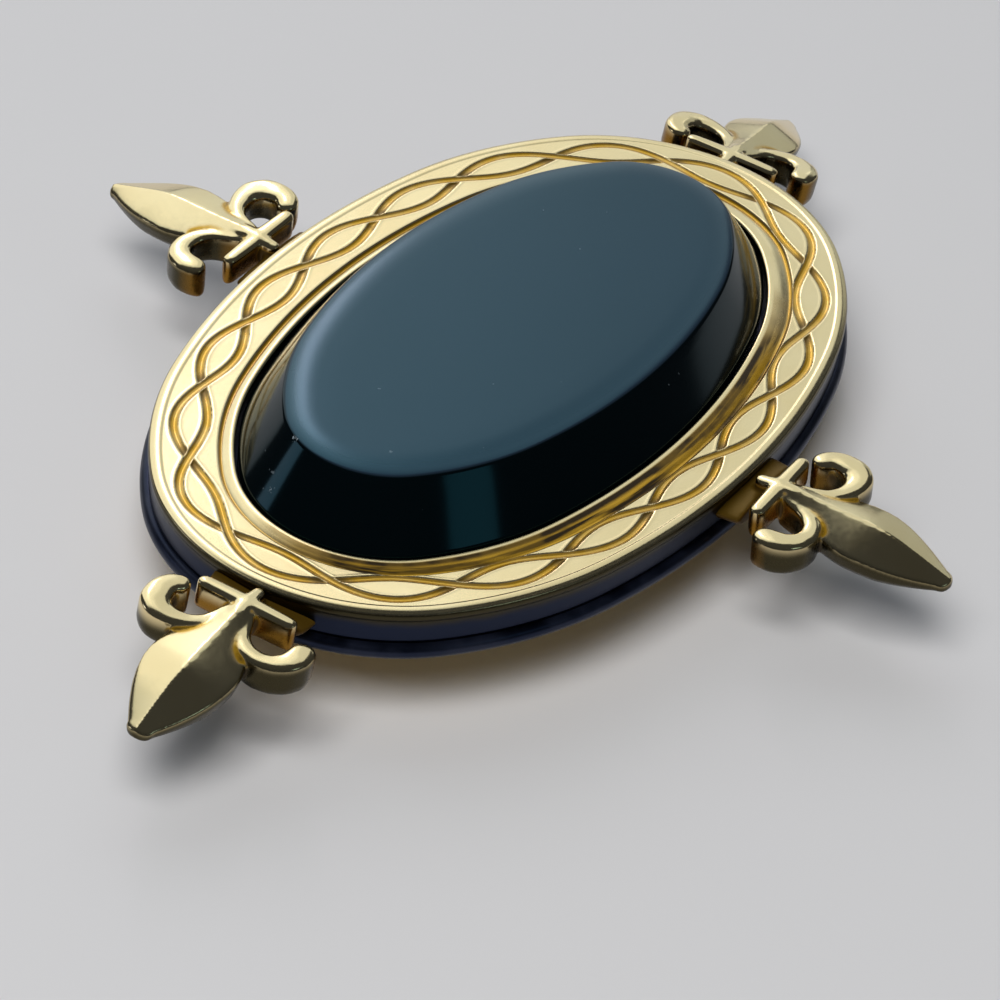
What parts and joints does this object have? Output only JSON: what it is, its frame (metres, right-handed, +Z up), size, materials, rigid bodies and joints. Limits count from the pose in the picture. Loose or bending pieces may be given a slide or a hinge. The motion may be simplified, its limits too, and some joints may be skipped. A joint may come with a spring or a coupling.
{
  "type": "brooch",
  "caption": "Oval brooch: a bevelled black stone tablet in an engraved gold border, with a fleur-de-lis at each end of both axes and a closed pin on its back plate.",
  "frame": {"origin": "the middle of the footprint, on the surface that the two feet of the pin's fittings rest on", "axes": "+Z points up out of the stone's table, X runs along the long axis of the oval and Y along its short axis; the stem of the pin lies along X"},
  "size_m": [0.0537, 0.0407, 0.0074],
  "materials": {
    "gilt_frame": "polished gilt, darker in the engraving",
    "black_stone": "polished black-green onyx",
    "gilt_plate": "satin gilt",
    "gilt_pin": "satin gilt"
  },
  "bodies": {
    "root": {"frame": "gilt_frame", "stone": "black_stone", "back_plate": "gilt_plate", "pin": "gilt_pin"}
  },
  "joints": []
}
